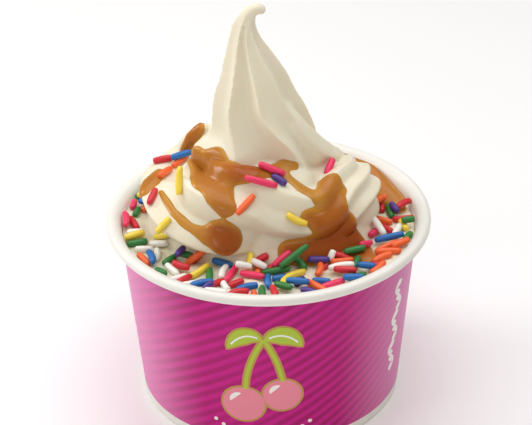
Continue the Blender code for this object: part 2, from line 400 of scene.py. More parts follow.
# A closed thin plate on the wall: rows along the path, as wide to both sides as one or many halves say.
def addPlate(shapes, tone, path, halves, turn):
    points, faces, inks = shapes
    halves = np.maximum(np.broadcast_to(halves, len(path)), 0.01)  # a point would have no sides
    along = unitRows(np.gradient(path, axis=0))
    side = np.column_stack([along[:, 1], -along[:, 0]])
    columns = motif["columns"]
    start = len(points)
    for lift in (motif["proud"][tone], -motif["sunk"]):
        for i in range(len(path)):
            for share in np.linspace(-1.0, 1.0, columns):
                right, up = path[i] + side[i] * share * halves[i]
                radius = wallRadius(up)
                angle = math.radians(turn) + right / radius
                points.append((*roundCup(radius + lift, angle), up))
    upper = []
    for i in range(len(path) - 1):
        for k in range(columns - 1):
            low = start + i * columns + k
            upper.append((low, low + 1, low + columns + 1, low + columns))
    faces.extend(closedShell(upper, len(path) * columns))
    inks.extend([list(motif["inks"]).index(tone)] * (len(faces) - len(inks)))


def addDisc(shapes, tone, middle, radius, turn):
    t = np.linspace(0.0, math.pi, 21)
    path = np.array(middle) + np.column_stack([-radius * np.cos(t), np.zeros(len(t))])
    addPlate(shapes, tone, path, radius * np.sin(t), turn)


def addCherries(shapes, turn):
    edge = motif["outline"]
    for right, up, radius in motif["cherries"]:
        addDisc(shapes, "Gold", (right, up), radius + edge, turn)
        addDisc(shapes, "Pink", (right, up), radius, turn)
        start, end, share, half = motif["shine"]
        angle = np.radians(np.linspace(start, end, 15))
        path = np.array((right, up)) + share * radius * np.column_stack([np.cos(angle), np.sin(angle)])
        addPlate(shapes, "White", path, half * swell(15, 0.6), turn)
    for first, second, third in motif["stems"]:
        path = bent(first, second, third)
        addPlate(shapes, "Gold", path, motif["stem"] + edge, turn)
        addPlate(shapes, "Lime", path, motif["stem"], turn)
    for first, second, third, half in motif["leaves"]:
        path = bent(first, second, third)
        width = swell(len(path), 0.8)
        ends = unitRows(np.gradient(path, axis=0)) * np.linspace(-edge, edge, len(path))[:, None]
        addPlate(shapes, "Gold", path + ends, width * half + edge * width ** 0.3, turn)
        addPlate(shapes, "Lime", path, width * half, turn)
        addPlate(shapes, "White", path[2:-2], motif["vein"], turn)


def addTendril(shapes, turn):
    low, high, swing, wave, half = motif["tendril"]
    up = np.linspace(low, high, 80)
    path = np.column_stack([swing * np.sin(2.0 * math.pi * (up - low) / wave), up])
    addPlate(shapes, "White", path, half, turn)
    for up in np.arange(low + wave / 4.0, high, wave / 2.0):
        side = math.sin(2.0 * math.pi * (up - low) / wave)
        for reach, rise, middle in motif["curls"]:
            first = np.array((side * swing, up))
            third = first + (-side * reach, rise)
            path = bent(first, (first + third) / 2.0 + (0.0, middle), third, 9)
            addPlate(shapes, "White", path, swell(len(path), 0.8), turn)


def buildMotif():
    shapes = ([], [], [])
    count, wide, low, rise, radius = motif["dots"]
    for turn in motif["turns"]:
        addCherries(shapes, turn)
        for share in np.linspace(-1.0, 1.0, count):
            addDisc(shapes, "White", (wide * share, low + rise * share * share), radius, turn)
    for turn in motif["tendrilTurns"]:
        addTendril(shapes, turn)
    points, faces, inks = shapes
    materials = [ink(name, tone) for name, tone in motif["inks"].items()]
    piece = addPiece("printedMotif", points, faces, materials)
    piece.data.polygons.foreach_set("material_index", inks)
    piece.data.set_sharp_from_angle(angle=math.radians(motif["sharpFrom"]))
    recalculateNormals(piece.data)
    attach(piece, "root")
    print("print:", len(faces), "faces")


# Offset ink on coated board: flat even colour with the board's own soft gloss and faint fibres.
def ink(name, tone):
    deeper = [c * motif["deeper"] for c in linear(tone)[:3]]
    return newMaterial("offsetInk" + name, (linear(tone), (*deeper, 1.0), 4.0, 3.0), printed["fibres"],
                       Roughness=0.45, Specular_IOR_Level=0.3, Coat_Weight=0.15, Coat_Roughness=0.3)


# Yogurt, piped as star-shaped ropes. A row is across, back, height over the rim's middle, rope radius,
# share of the full groove depth, roll of the star in degrees, and how far its points spread that way.
swirl = {
    "points": 7,
    "spirePoints": 8,
    "groove": 0.24,
    "spireGroove": 0.31,
    "crease": 0.45,
    "spireCrease": 0.1,
    "crest": 0.8,  # below 1 makes the peak's ridges sharper
    "sectionSteps": 112,
    "pathSteps": 8,
    "capBulge": 0.6,
    "voxel": 0.5,
    "loop": (
        (-13, 15, 4, 16, 1.1, 110, 6),
        (-22, 5, 2, 17.6, 1.7, 124, 46),
        (-20.5, -4.5, 3.5, 17.2, 1.7, 108, 46),
        (-13, -10, 8, 15.4, 1.2, 48, 30),
        (-3, -9, 10.5, 13.2, 0.6, 2, 4),
        (5.5, -9, 8.6, 12.6, 0.6, -8, 0),
        (11.5, -8, 7, 11.6, 0.8, -4, 0),
        (17, -4, 6.4, 11.8, 0.8, 34, -14),
        (21.6, 2.5, 5.4, 12.5, 0.85, 50, -28),
        (20.5, 10.5, 0.6, 11, 0.8, 66, -20),
        (9, 20, -1, 12.5, 1, 108, 0),
        (-3, 20, 1, 14.4, 1, 117, 0),
    ),
    # From here on a row ends in how far the left side is pushed out, and three front ridges' angles. They
    # are the same all along the tail, and so is the share before them.
    "tailEnds": (1, 0, -30, 0, 32),
    "tail": (
        (22, 9, 12.5, 2.4),
        (19.5, 7, 15.8, 3.2),
        (16.6, 5, 17.8, 4),
        (13, 1.5, 22.4, 4.3),
        (9.4, -1, 27.6, 4.2),
        (6.4, -1.4, 32.7, 3.6),
        (3.2, 2, 38.5, 1.8),
    ),
    "spire": (
        (-1.4, 6, -14, 16, 0.4, 0, -20, 50, 70),
        (-1.4, 5, 2, 16, 0.6, 0, -20, 50, 70),
        (-1.8, 4.5, 9.5, 17.6, 0.7, 0.6, -22, 50, 80),
        (-1.6, 4.5, 16.5, 18, 0.6, 2.4, -24, 51, 78),
        (-1.4, 4.5, 21, 17.2, 0.65, 3.6, -26, 46, 66),
        (-1.4, 4.5, 25.5, 16, 0.7, 3.4, -29, 34, 60),
        (-2.1, 4.5, 30.5, 14.6, 0.8, 0.4, -34, 20, 54),
        (-3.2, 4.5, 36.5, 13.1, 0.9, 0, -38, 8, 47),
        (-3.9, 4.5, 43.5, 10.7, 1, 0, -37, 5, 42),
        (-5.1, 4.5, 50.4, 7.5, 1, 0, -33, 4, 39),
        (-5.9, 4.5, 55.9, 5.2, 1, 0, -25, 4, 37),
        (-5.8, 4.5, 60.4, 3.6, 1, 0, -17, 8, 36),
        (-4.5, 4.5, 63.9, 2.4, 0.6, 0, -17, 8, 36),
        (-2.2, 4.5, 65.4, 1.7, 0.3, 0, -17, 8, 36),
        (-0.4, 4.5, 64.7, 1.3, 0, 0, -17, 8, 36),
    ),
    # the other ridges, from the left one on, and each facet's share of the groove depth
    "spireRidges": (-82, 86, 131, 180, 229),
    "spireFacets": (0.75, 1.3, 0.6, 0.9, 0.9, 0.9, 0.9, 0.9),
    "tailRidges": (-82, 110, 150, 190, 235),
    "tailFacets": (0.6, 0.4, 0.4, 0.5, 0.8, 0.8, 0.8, 0.8),
    # a small round lip of yogurt at the left
    "lip": (
        (-26.5, 15.5, 11.5, 2.6),
        (-23.5, 15.5, 16, 3),
        (-21, 14.5, 19.6, 2.6),
        (-18.7, 13, 22.6, 1.8),
        (-17.4, 12, 24.6, 0.7),
    ),
    # the lower ring that the loop lies on
    "ringHalf": (21.0, 14.8),
    "ringMiddle": (-1.0, 4.6),
    "ringHeight": -4.0,
    "ringRope": 13.5,
    "ringStar": (0.5, 50.0, 0.0),
    "soften": 3,  # rounds
}
filling = {
    "level": 53.0,
    "skirt": 48.0,  # how far down the fine skin goes
    "skirtRoom": 0.6,
    "clear": 0.58,  # paper and a hair
    "edgeDrop": 0.25,
    "edgeFold": 1.6,  # how far down the edge is rounded
    "ripple": (0.55, 8.0),  # mm high, mm across
    "grain": (0.16, 2.6),
    # where it is heaped against the wall: angle and spread in degrees, mm high
    "heaps": ((141.0, 40.0, 4.2), (-95.0, 38.0, 2.0), (80.0, 22.0, 0.9)),
    "heapSlope": (0.74, 0.96),  # shares of the wall's radius
    "rounds": 42,
    "columns": 160,
}


# Catmull-Rom curve through the rows, all columns together.
def smoothPath(rows, closed):
    rows = np.array(rows, float)
    if closed:
        padded = np.vstack([rows[-1], rows, rows[:2]])
    else:
        padded = np.vstack([2 * rows[0] - rows[1], rows, 2 * rows[-1] - rows[-2]])
    stations = []
    for before, first, second, after in zip(padded, padded[1:], padded[2:], padded[3:]):
        for t in np.arange(swirl["pathSteps"]) / swirl["pathSteps"]:
            cubic = 3 * first - before - 3 * second + after
            square = 2 * before - 5 * first + 4 * second - after
            stations.append(first + 0.5 * (t * (second - before) + t * t * square + t ** 3 * cubic))
    stations.append(padded[-2])
    return np.array(stations)


def unitRows(vectors):
    return vectors / np.linalg.norm(vectors, axis=1)[:, None]


# Groove depths round a star section, from 0 on a point to 1 between two.
def grooveDepths(points, crease):
    half = points * np.linspace(0.0, math.pi, swirl["sectionSteps"], endpoint=False)
    return crease * (1.0 - np.abs(np.cos(half))) + (1.0 - crease) * np.abs(np.sin(half))


# Directions of a star section's points, rolled and spread by its row.
def starAngles(row):
    turn = np.linspace(0.0, 2.0 * math.pi, swirl["sectionSteps"], endpoint=False)
    return turn + math.radians(row[5]) + math.radians(row[6]) * np.sin(turn)


# Directions of the section's points where each ridge has an angle of its own.
def ridgeAngles(row, ridges):
    crests = (ridges[0], *row[6:], *ridges[1:], ridges[0] + 360.0)
    place = np.linspace(0.0, swirl["spirePoints"], swirl["sectionSteps"], endpoint=False)
    return np.radians(np.interp(place, range(len(crests)), crests))


# A rope through the rows with the groove depths given. Angle 0 points away from the axis, or towards the
# front where the ridges have angles of their own.
def addRope(points, faces, rows, depths, ridges=(), closed=False):
    steps = swirl["sectionSteps"]
    stations = smoothPath(rows, closed)
    middle = stations[:, :3] + (0.0, 0.0, rimHeight)
    along = unitRows(np.gradient(middle, axis=0))
    if ridges:
        first = unitRows(np.array([0, -1, 0]) + along * along[:, 1:2])
        second = np.cross(along, first)
    else:
        second = unitRows(np.array([0, 0, 1]) - along * along[:, 2:3])
        first = np.cross(along, second)
    start = len(points)
    for i, row in enumerate(stations):
        reach = row[3] * (1.0 - row[4] * depths)
        if ridges:
            angle = ridgeAngles(row, ridges)
            reach += row[5] * np.maximum(-np.sin(angle), 0.0) ** 2
        else:
            angle = starAngles(row)
        ring = np.outer(np.cos(angle) * reach, first[i]) + np.outer(np.sin(angle) * reach, second[i])
        points.extend(middle[i] + ring)
    for i in range(len(stations) - 1):
        low = start + i * steps
        for k in range(steps):
            j = (k + 1) % steps
            faces.append((low + k, low + j, low + steps + j, low + steps + k))
    for i, side in ((0, -1.0), (len(stations) - 1, 1.0)):
        low = start + i * steps
        points.append(middle[i] + along[i] * side * stations[i, 3] * swirl["capBulge"])
        for k in range(steps):
            ends = (low + k, low + (k + 1) % steps)
            faces.append((*ends, len(points) - 1) if side > 0 else (*ends[::-1], len(points) - 1))


# The lower ring as a closed round of stations, counter-clockwise.
def ringRows():
    rows = []
    for angle in np.linspace(0.0, 2.0 * math.pi, 13):
        across = swirl["ringMiddle"][0] + swirl["ringHalf"][0] * math.cos(angle)
        back = swirl["ringMiddle"][1] + swirl["ringHalf"][1] * math.sin(angle)
        rows.append((across, back, swirl["ringHeight"], swirl["ringRope"], *swirl["ringStar"]))
    return rows


# Smooth noise between -1 and 1 whose waves are size mm across.
def ripples(x, y, z, size, seed):
    return noise.noise(Vector((x / size + seed, y / size, z / size)))


# How far the filling's top lies over its level, in mm. Share is 0 in the middle and 1 at the wall.
def fillingLift(x, y, angle, share):
    lift = 0.0
    for height, size, seed in ((*filling["ripple"], 3.0), (*filling["grain"], 9.0)):
        lift += 2.0 * height * ripples(x, y, 0.0, size, seed)
    for place, spread, height in filling["heaps"]:
        turn = (math.degrees(angle) - place + 180.0) % 360.0 - 180.0
        lift += height * math.exp(-(turn / spread) ** 2 * 2.0) * softStep(share, *filling["heapSlope"])
    return lift


# The filling as a closed disc: its uneven top, rounded at the edge, and the skirt below.
def addFilling(points, faces):
    count = filling["columns"]
    start = len(points)
    level = filling["level"]
    edge = wallRadius(level) - filling["clear"]
    points.append((0.0, 0.0, level))
    shares = list(np.linspace(0.0, 1.0, filling["rounds"])[1:]) + [1.0, 1.0]
    for i, share in enumerate(shares):
        for k in range(count):
            angle = 2.0 * math.pi * k / count
            x, y = roundCup(edge * share, angle)
            if i < len(shares) - 2:
                drop = filling["edgeDrop"] if share == 1.0 else 0.0
                z = level + fillingLift(x, y, angle, share) - drop
            else:
                z = filling["skirt"] if i == len(shares) - 1 else level - filling["edgeFold"]
            points.append((x, y, z))
    for k in range(count):
        j = (k + 1) % count
        faces.append((start, start + 1 + k, start + 1 + j))
        for i in range(len(shares) - 1):
            low = start + 1 + i * count
            faces.append((low + k, low + count + k, low + count + j, low + j))
    last = start + 1 + (len(shares) - 1) * count
    faces.append(tuple(last + k for k in reversed(range(count))))


# Only the outer skin, which is everything that hangs together with the highest point. Its open bottom
# at the skirt is closed with one flat face.
def keepOuterSkin(mesh):
    bm = bmesh.new()
    bm.from_mesh(mesh)
    top = max(bm.verts, key=lambda v: v.co.z)
    top.tag = True
    reached = [top]
    while reached:
        for edge in reached.pop().link_edges:
            for vert in edge.verts:
                if not vert.tag:
                    vert.tag = True
                    reached.append(vert)
    bmesh.ops.delete(bm, geom=[v for v in bm.verts if not v.tag], context="VERTS")
    low = mm(filling["skirt"] + 0.4)  # only the bottom's faces are lower
    flat = [f for f in bm.faces if max(v.co.z for v in f.verts) < low]
    bmesh.ops.delete(bm, geom=flat, context="FACES")
    bmesh.ops.contextual_create(bm, geom=[e for e in bm.edges if e.is_boundary])
    bm.to_mesh(mesh)
    bm.free()


def buildYogurt():
    points, faces = [], []
    folds = swirl["groove"] * grooveDepths(swirl["points"], swirl["crease"])
    addRope(points, faces, swirl["loop"], folds, closed=True)
    addRope(points, faces, ringRows(), folds)
    facets = grooveDepths(swirl["spirePoints"], swirl["spireCrease"]) ** swirl["crest"]
    each = swirl["sectionSteps"] // swirl["spirePoints"]
    for name, ends in (("tail", swirl["tailEnds"]), ("spire", ())):
        rows = [row + ends for row in swirl[name]]
        depths = swirl["spireGroove"] * facets * np.repeat(swirl[name + "Facets"], each)
        addRope(points, faces, rows, depths, swirl[name + "Ridges"])
    rows = [row + (0, 0, 0) for row in swirl["lip"]]
    addRope(points, faces, rows, np.zeros(swirl["sectionSteps"]))
    kept = np.array(points)
    # no rope reaches below the skirt
    kept[:, 2] = np.maximum(kept[:, 2], filling["skirt"] + filling["skirtRoom"])
    points = list(kept)
    addFilling(points, faces)
    piece = addPiece("yogurtSwirl", points, faces, [frozenYogurt()])
    recalculateNormals(piece.data)
    skin = piece.modifiers.new("skin", "REMESH")
    skin.mode = "VOXEL"
    skin.voxel_size = mm(swirl["voxel"])
    skin.use_smooth_shade = True
    soften = piece.modifiers.new("soften", "SMOOTH")
    soften.iterations = swirl["soften"]
    applyModifiers(piece)
    keepOuterSkin(piece.data)
    piece.data.shade_smooth()
    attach(piece, "root")
    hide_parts("yogurt")
    print("yogurt: swirl skin", len(piece.data.polygons), "faces")
    return piece


# Soft-serve frozen yogurt, piped: dense, moist and slightly waxy, with light going a little way in.
def frozenYogurt():
    return newMaterial("softServeYogurt", (linear("EAE1C7"), linear("F2EBD5"), 14.0, 2.0),
                       (1.1, 0.05, 3.0), Roughness=0.42, Specular_IOR_Level=0.4, Subsurface_Weight=0.35,
                       Subsurface_Scale=mm(1.2), Subsurface_Radius=(1.0, 0.7, 0.4))


# Sauce, as strokes laid on the yogurt. A stroke's row is across, up, half width and depth. "front" ones
# are laid as seen from the front and 30 degrees above, round the rim's middle, and "top" ones from above.
sauce = {
    "strokes": (
        ("front", ((-15.9, 15.2, 5.4, 1.1), (-16, 10.8, 4.8, 1.1), (-13.9, 6.2, 4.2, 1.1),
                   (-12.4, 3, 3.4, 1.1))),
        ("front", ((-20.2, 17.6, 3.2, 1), (-20, 13.5, 3.6, 1.1), (-18.6, 9.5, 3.2, 1.1))),
        ("front", ((-11.5, 13.2, 3.4, 1.3), (-8, 12.6, 3.4, 1.8), (-4, 12.4, 3.2, 1.8),
                   (-0.8, 12.4, 2.6, 1.3), (3, 13.2, 2, 0.6))),
        ("front", ((4.6, 14.6, 1.6, 0.5), (7.6, 14.3, 1.5, 0.5))),
        ("front", ((4.6, 11.4, 1.2, 0.3), (9.1, 8.1, 2, 0.4), (13.7, 5.4, 1.8, 0.4))),
        ("front", ((18.9, 8.4, 4.7, 0.9), (18.2, 6, 4.5, 1.1), (18.6, 2.6, 4.4, 1.3),
                   (19.4, -2, 5.4, 1.5), (19.6, -6.7, 7, 1.8))),
        ("front", ((18, -9, 5.4, 1.8), (11, -10.4, 4.4, 1.7), (5.8, -10.4, 3.4, 1.6))),
        ("front", ((22.2, -7.4, 5.6, 1.8), (26.2, -10.9, 4.2, 1.8), (28.2, -13.2, 2.8, 1.5))),
        ("front", ((11.4, -0.2, 2.4, 1.3), (14.1, -1.9, 3, 1.6))),
        ("front", ((-31.1, 7.6, 0.9, 0.4), (-27.2, 1.4, 1.3, 0.5), (-22.8, -2.7, 1.4, 0.6),
                   (-18.2, -5.2, 1.8, 0.9))),
        ("front", ((-13.4, -5.2, 4.9, 1.6), (-12.4, -6.4, 4.9, 1.7))),
        ("front", ((-32, 13.4, 2, 0.9), (-34.4, 10.4, 3, 1.2), (-36.2, 8.2, 2.4, 1))),
        ("front", ((-24.6, 20.2, 1.8, 1.2), (-22.6, 23.4, 2.4, 1.4), (-20, 26.4, 2, 1.3))),
        ("top", ((11.5, 38.6, 2.2, 0.7), (17.5, 36.6, 3.4, 0.9), (24, 32, 5, 1),
                 (30, 26, 5.6, 1), (34.2, 20, 5.2, 1), (37, 13.4, 4.6, 1),
                 (38.8, 8, 2.6, 0.8))),
        ("top", ((-12, 24, 3, 0.7), (-10, 30, 3.6, 1), (-6, 35, 4.4, 1.3))),
        ("top", ((2, 22, 3, 0.6), (4.5, 27, 2.6, 0.8), (5.5, 31, 3.2, 1.1))),
        ("top", ((19, 21, 2, 0.5), (14, 25, 2.4, 0.6), (10, 29, 2.8, 0.9))),
    ),
    "step": 1.2,  # mm between the places where a stroke is laid
    "blend": 1.0,  # mm over which strokes run together
    "shoulder": 0.75,  # mm from the edge to most of the depth
    "sink": 0.35,  # how far the edges dip under the yogurt
    "wander": (0.45, 5.5),  # edge waviness: mm, mm across
    "edge": 0.6,  # how far outside the edge the shell begins
    "under": 0.5,  # depth of the shell's lower face under the yogurt
    "clear": 0.04,  # from the cup's wall
    "kept": 0.6,  # share of the fine faces
    "near": 12.0,  # mm round a stroke, past which it counts for nothing
    "outside": -50.0,  # how far inside a stroke a place is that is nowhere near it
    "bridge": 12,  # rounds of smoothing, so that the sauce fills the fine relief below it
    "bridgeIn": (0.2, 2.0),  # mm from the edge over which that sets in
    "deep": 2.1,  # mm at which it has its full colour
    "thin": "C88E36",
    "thick": "A24A16",
}
slant = math.radians(view["elevation"])
viewInto = np.array([0.0, math.cos(slant), -math.sin(slant)])
viewUp = np.array([0.0, math.sin(slant), math.cos(slant)])


# The first surface met from the front or from above: place and normal, in mm over the rim's middle.
def meet(tree, way, across, up):
    if way == "front":
        start = np.array([across, 0.0, 0.0]) + viewUp * up - viewInto * 150.0  # well outside
        place, normal = tree.ray_cast(Vector(start), Vector(viewInto))[:2]
    else:
        place, normal = tree.ray_cast(Vector((across, up, 100.0)), Vector((0.0, 0.0, -1.0)))[:2]
    return (None, None) if place is None else (np.array(place), np.array(normal))


# One search tree for the faces of the meshes, in mm over the rim's middle.
def searchTree(meshes):
    points, faces = [], []
    for mesh in meshes:
        start = len(points)
        points.extend(v.co * 1000.0 - Vector((0.0, 0.0, rimHeight)) for v in mesh.vertices)
        flat = (face.vertices for face in mesh.polygons if len(face.vertices) < 5)
        faces.extend([start + i for i in corners] for corners in flat)
    return BVHTree.FromPolygons(points, faces)


# A stroke's rows laid on the yogurt: place, half width and depth.
def layStroke(tree, way, stroke):
    rows = []
    stroke = np.array(stroke)
    for first, second in zip(stroke, stroke[1:]):
        steps = max(2, int(np.hypot(*(second - first)[:2]) / sauce["step"]) + 1)
        for share in np.linspace(0.0, 1.0, steps):
            across, up, half, thick = first + (second - first) * share
            place = meet(tree, way, across, up)[0]
            if place is not None:
                rows.append((*place, half, thick))
    return np.array(rows)


# How far each point is inside a stroke, and the stroke's depth there.
def insideStroke(points, rows):
    best = np.full(len(points), sauce["outside"])
    depth = np.zeros(len(points))
    for first, second in zip(rows, rows[1:]):
        line = second[:3] - first[:3]
        t = np.clip((points - first[:3]) @ line / max(line @ line, 0.01), 0.0, 1.0)
        away = np.linalg.norm(points - first[:3] - t[:, None] * line, axis=1)
        inside = first[3] + t * (second[3] - first[3]) - away
        closer = inside > best
        best[closer] = inside[closer]
        depth[closer] = (first[4] + t * (second[4] - first[4]))[closer]
    return best, depth


# All strokes run together: how far each point is inside them, and how high the sauce stands there.
def pour(points, tree):
    count = len(points)
    inside = np.full(count, sauce["outside"])
    weight, depth = np.zeros(count), np.zeros(count)
    blend, shoulder, margin = sauce["blend"], sauce["shoulder"], sauce["near"]
    for way, stroke in sauce["strokes"]:
        rows = layStroke(tree, way, stroke)
        low, high = rows[:, :3].min(axis=0) - margin, rows[:, :3].max(axis=0) + margin
        near = np.flatnonzero(((points > low) & (points < high)).all(axis=1))
        within, thick = np.full(count, sauce["outside"]), np.zeros(count)
        within[near], thick[near] = insideStroke(points[near], rows)
        share = np.exp(np.clip(within / blend, -30.0, 12.0))  # kept within what can be added up
        depth += share * thick
        weight += share
        inside = np.logaddexp(inside / blend, within / blend) * blend
    depth /= weight
    size, across = sauce["wander"]
    for i in np.flatnonzero(inside > -2.0):  # nothing is laid farther out
        inside[i] += size * ripples(*points[i], across, 21.0)
    dome = depth * (1.0 - np.exp(-np.maximum(inside, 0.0) / shoulder))
    height = np.where(inside > 0.0, dome, np.maximum(depth * inside / shoulder, -sauce["sink"]))
    return inside, height


def smoothed(points, faces, rounds):
    edges = np.array([(f[i], f[(i + 1) % 4]) for f in faces for i in range(4)])
    edges = np.vstack([edges, edges[:, ::-1]])
    degree = np.bincount(edges[:, 0], minlength=len(points))[:, None]
    for _ in range(rounds):
        total = np.zeros_like(points)
        np.add.at(total, edges[:, 0], points[edges[:, 1]])
        points = total / degree
    return points


def buildSauce(yogurt):
    mesh = yogurt.data
    count = len(mesh.vertices)
    points, normals = np.zeros(count * 3), np.zeros(count * 3)
    mesh.vertices.foreach_get("co", points)
    mesh.vertex_normals.foreach_get("vector", normals)
    points = points.reshape(-1, 3) * 1000.0 - (0.0, 0.0, rimHeight)
    normals = normals.reshape(-1, 3)
    inside, height = pour(points, searchTree([mesh]))
    faces = [tuple(f.vertices) for f in mesh.polygons if len(f.vertices) == 4]
    faces = [f for f in faces if max(inside[list(f)]) > -sauce["edge"]]
    used = np.unique(np.array(faces))
    place = np.full(count, -1)
    place[used] = np.arange(len(used))
    faces = [tuple(int(place[i]) for i in f) for f in faces]
    base, out, tall = points[used], normals[used], height[used]
    share = softStep(inside[used], *sauce["bridgeIn"])[:, None]
    upper = base + (smoothed(base, faces, sauce["bridge"]) - base) * share + out * tall[:, None]
    lower = base - out * sauce["under"]
    shell = np.vstack([upper, lower]) + (0.0, 0.0, rimHeight)
    reach = np.hypot(shell[:, 0], shell[:, 1])
    room = wallRadius(np.minimum(shell[:, 2], rimHeight)) - cup["paper"] - sauce["clear"]
    shell[:, :2] *= np.minimum(room / reach, 1.0)[:, None]  # nothing runs into the paper
    piece = addPiece("caramelSauce", shell, closedShell(faces, len(used)), [caramel()])
    depth = piece.data.attributes.new("depth", "FLOAT", "POINT")
    depth.data.foreach_set("value", np.concatenate([tall, tall]))
    finer = piece.modifiers.new("finer", "SUBSURF")
    finer.levels = finer.render_levels = 1
    thinner = piece.modifiers.new("thinner", "DECIMATE")
    thinner.ratio = sauce["kept"]
    applyModifiers(piece)
    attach(piece, "root")
    print("sauce:", len(piece.data.polygons), "faces")
    return piece


# Cooked caramel sauce, poured: clear amber syrup with cream in it, lighter where it is thin, very glossy.
def caramel():
    made = newMaterial("caramelSyrup", Roughness=0.22, IOR=1.47, Specular_IOR_Level=0.28,
                       Subsurface_Weight=0.2, Subsurface_Scale=mm(1.0),
                       Subsurface_Radius=(1.0, 0.35, 0.12))
    tree = made.node_tree
    depth = addNode(tree, "ShaderNodeAttribute", attribute_name="depth").outputs["Fac"]
    share = addNode(tree, "ShaderNodeMapRange", interpolation_type="SMOOTHSTEP", Value=depth,
                    From_Min=0.0, From_Max=sauce["deep"])
    tone = addNode(tree, "ShaderNodeMix", data_type="RGBA", n0=share, n6=linear(sauce["thin"]),
                   n7=linear(sauce["thick"]))
    tree.links.new(tone.outputs[2], tree.nodes["Principled BSDF"].inputs["Base Color"])
    return made


# Sprinkles. Placed ones are given as seen from the front and 30 degrees above: across, up, slope in
# degrees, length, and for a bent one the bend, from -2 to 2. Loose ones fill up the ring round the swirl.
sprinkles = {
    "sizes": {"Length": 7.0, "Thickness": 2.15, "Slight bend": 0.55, "Strong bend": 2.6},
    "sides": 8,
    "paler": (1.12, 0.012),  # the glaze's lighter clouds: times, plus
    "colours": {
        "Red": "D0202C",
        "Orange": "F0662A",
        "Yellow": "F3D445",
        "Green": "2C7A36",
        "Blue": "1668B2",
        "Purple": "4B2E83",
        "Pink": "E8305F",
        "White": "F3EEE6",
    },
    "placed": {
        "Red": ((-31, 16.8, 9, 6), (-33.4, 5.8, 66, 6), (-40, -2, -58, 6),
                (-15, -19.5, 22, 5), (-9.5, -19.7, 19, 5), (-2, -12, 27, 4),
                (1.5, -15, 16, 6.5), (14.3, -13, 24, 5.5), (21, -12.3, -20, 6),
                (31, -15.2, 14, 5), (34.7, -5, -31, 5.5), (34, 1.5, -86, 7),
                (-20.5, -11.7, 43, 4)),
        "Orange": ((-30.2, 12.6, 40, 6.5), (-26, 16.3, 38, 6.5), (-36.4, -12.6, -45, 6),
                   (-20, -12.8, 28, 8), (34.4, -11.4, 0, 8), (33.5, -2.5, -17, 7),
                   (-6.7, 3, 46, 8)),
        "Yellow": ((-24.7, 10.5, 82, 8.5, 1), (-30, -2.4, 48, 6), (-30.7, -5.4, 7, 6.5),
                   (-20, -16, 33, 8, -1), (-6.3, -15.6, 83, 7.5), (6.2, -18.5, 32, 11, 2),
                   (40, -4, -60, 6), (7.8, -1.1, -27, 7, -1)),
        "Green": ((-39.5, 1.2, 66, 5), (-39, -7.8, 9, 6.5), (-31, -16, -23, 4),
                  (-28.6, -12.8, 36, 5), (-22.8, -11, -12, 5), (4, -13, -9, 8.5),
                  (6.4, -14.5, 31, 10.5), (24.8, -18.2, 8, 6), (41, -7.3, 40, 4.5),
                  (41.3, -4, 10, 4), (36.3, 0, -74, 7)),
        "Blue": ((-25, 19, 15, 6.5), (-13.3, -13.2, -16, 6.5), (-6.3, -20.7, 16, 6.5, 1),
                 (27.5, -16.6, -10, 5.5), (14.7, -19.4, 0, 5.5), (35.7, -8.4, 15, 9)),
        "Purple": ((-26, -12.7, 49, 5), (14, -15, -4, 6.5), (38, 0.6, -55, 4.5),
                   (3, 9.8, -34, 5)),
        "Pink": ((-40.5, 3.5, 80, 5), (-10.8, -16.8, 56, 9), (17.8, -20.2, 17, 8),
                 (30.4, -5.6, 28, 5.5), (16.9, 15.4, 34, 6), (0.7, 12.8, -27, 8.5),
                 (-2, 9.6, -13, 10)),
        "White": ((-31.6, -7.9, 3, 6.5), (-36.3, -9.7, 3, 5.5), (-39.3, -4.7, 5, 5),
                  (-7.2, -11, -15, 5), (-2.8, -13.4, -27, 5), (17.3, -11.6, 71, 3.5)),
    },
    "loose": 310,
    "tries": 6000,
    "looseColours": (0.15, 0.14, 0.13, 0.13, 0.11, 0.08, 0.12, 0.14),  # shares, in the colours' order
    "looseLength": (6.8, 0.8),  # middle and spread
    "looseReach": (18.0, 42.2),  # from the axis
    "placedReach": 43.4,
    "looseBelow": -0.2,  # the surface's height over the rim's middle
    "looseTop": 0.8,  # and the rod's own, at most
    "levelEnough": 0.6,  # the surface normal's upward share
    "bareSlope": (24.0, 2.5),  # to the right of, and above, as seen from the front
    "inFront": 12.0,  # mm back, up to where the placed ones lie
    "looseInFront": 0.5,  # share of the loose ones kept there
    "highest": (1.2, 1.8),  # how far one may lie over its place on others, in front and behind
    "overlap": 0.1,  # how far rods press into each other, as a share of their thickness
    "bedded": 0.36,  # how high the middle lies over the surface, as a share of the thickness
    "feel": 0.42,  # where the surface is felt on both sides of the middle, as a share of the length
    "feelFrom": 3.5,  # mm over and under the surface
    "steepest": 0.7,  # rise over run against the surface
    "fromWall": 0.2,
    "neighbours": 12.0,  # mm within which others are looked at
    "seed": 11,
}


# Nearest distance between two straight rods given by their ends.
def rodDistance(first, second):
    p, u = first[0], first[1] - first[0]
    q, v = second[0], second[1] - second[0]
    w = p - q
    a, b, c, d, e = u @ u, u @ v, v @ v, u @ w, v @ w
    bottom = a * c - b * b
    s = min(max((b * e - c * d) / bottom, 0.0), 1.0) if bottom > 1e-6 else 0.0
    t = min(max((b * s + e) / c, 0.0), 1.0)
    s = min(max((b * t - d) / a, 0.0), 1.0)
    return np.linalg.norm(w + s * u - t * v)


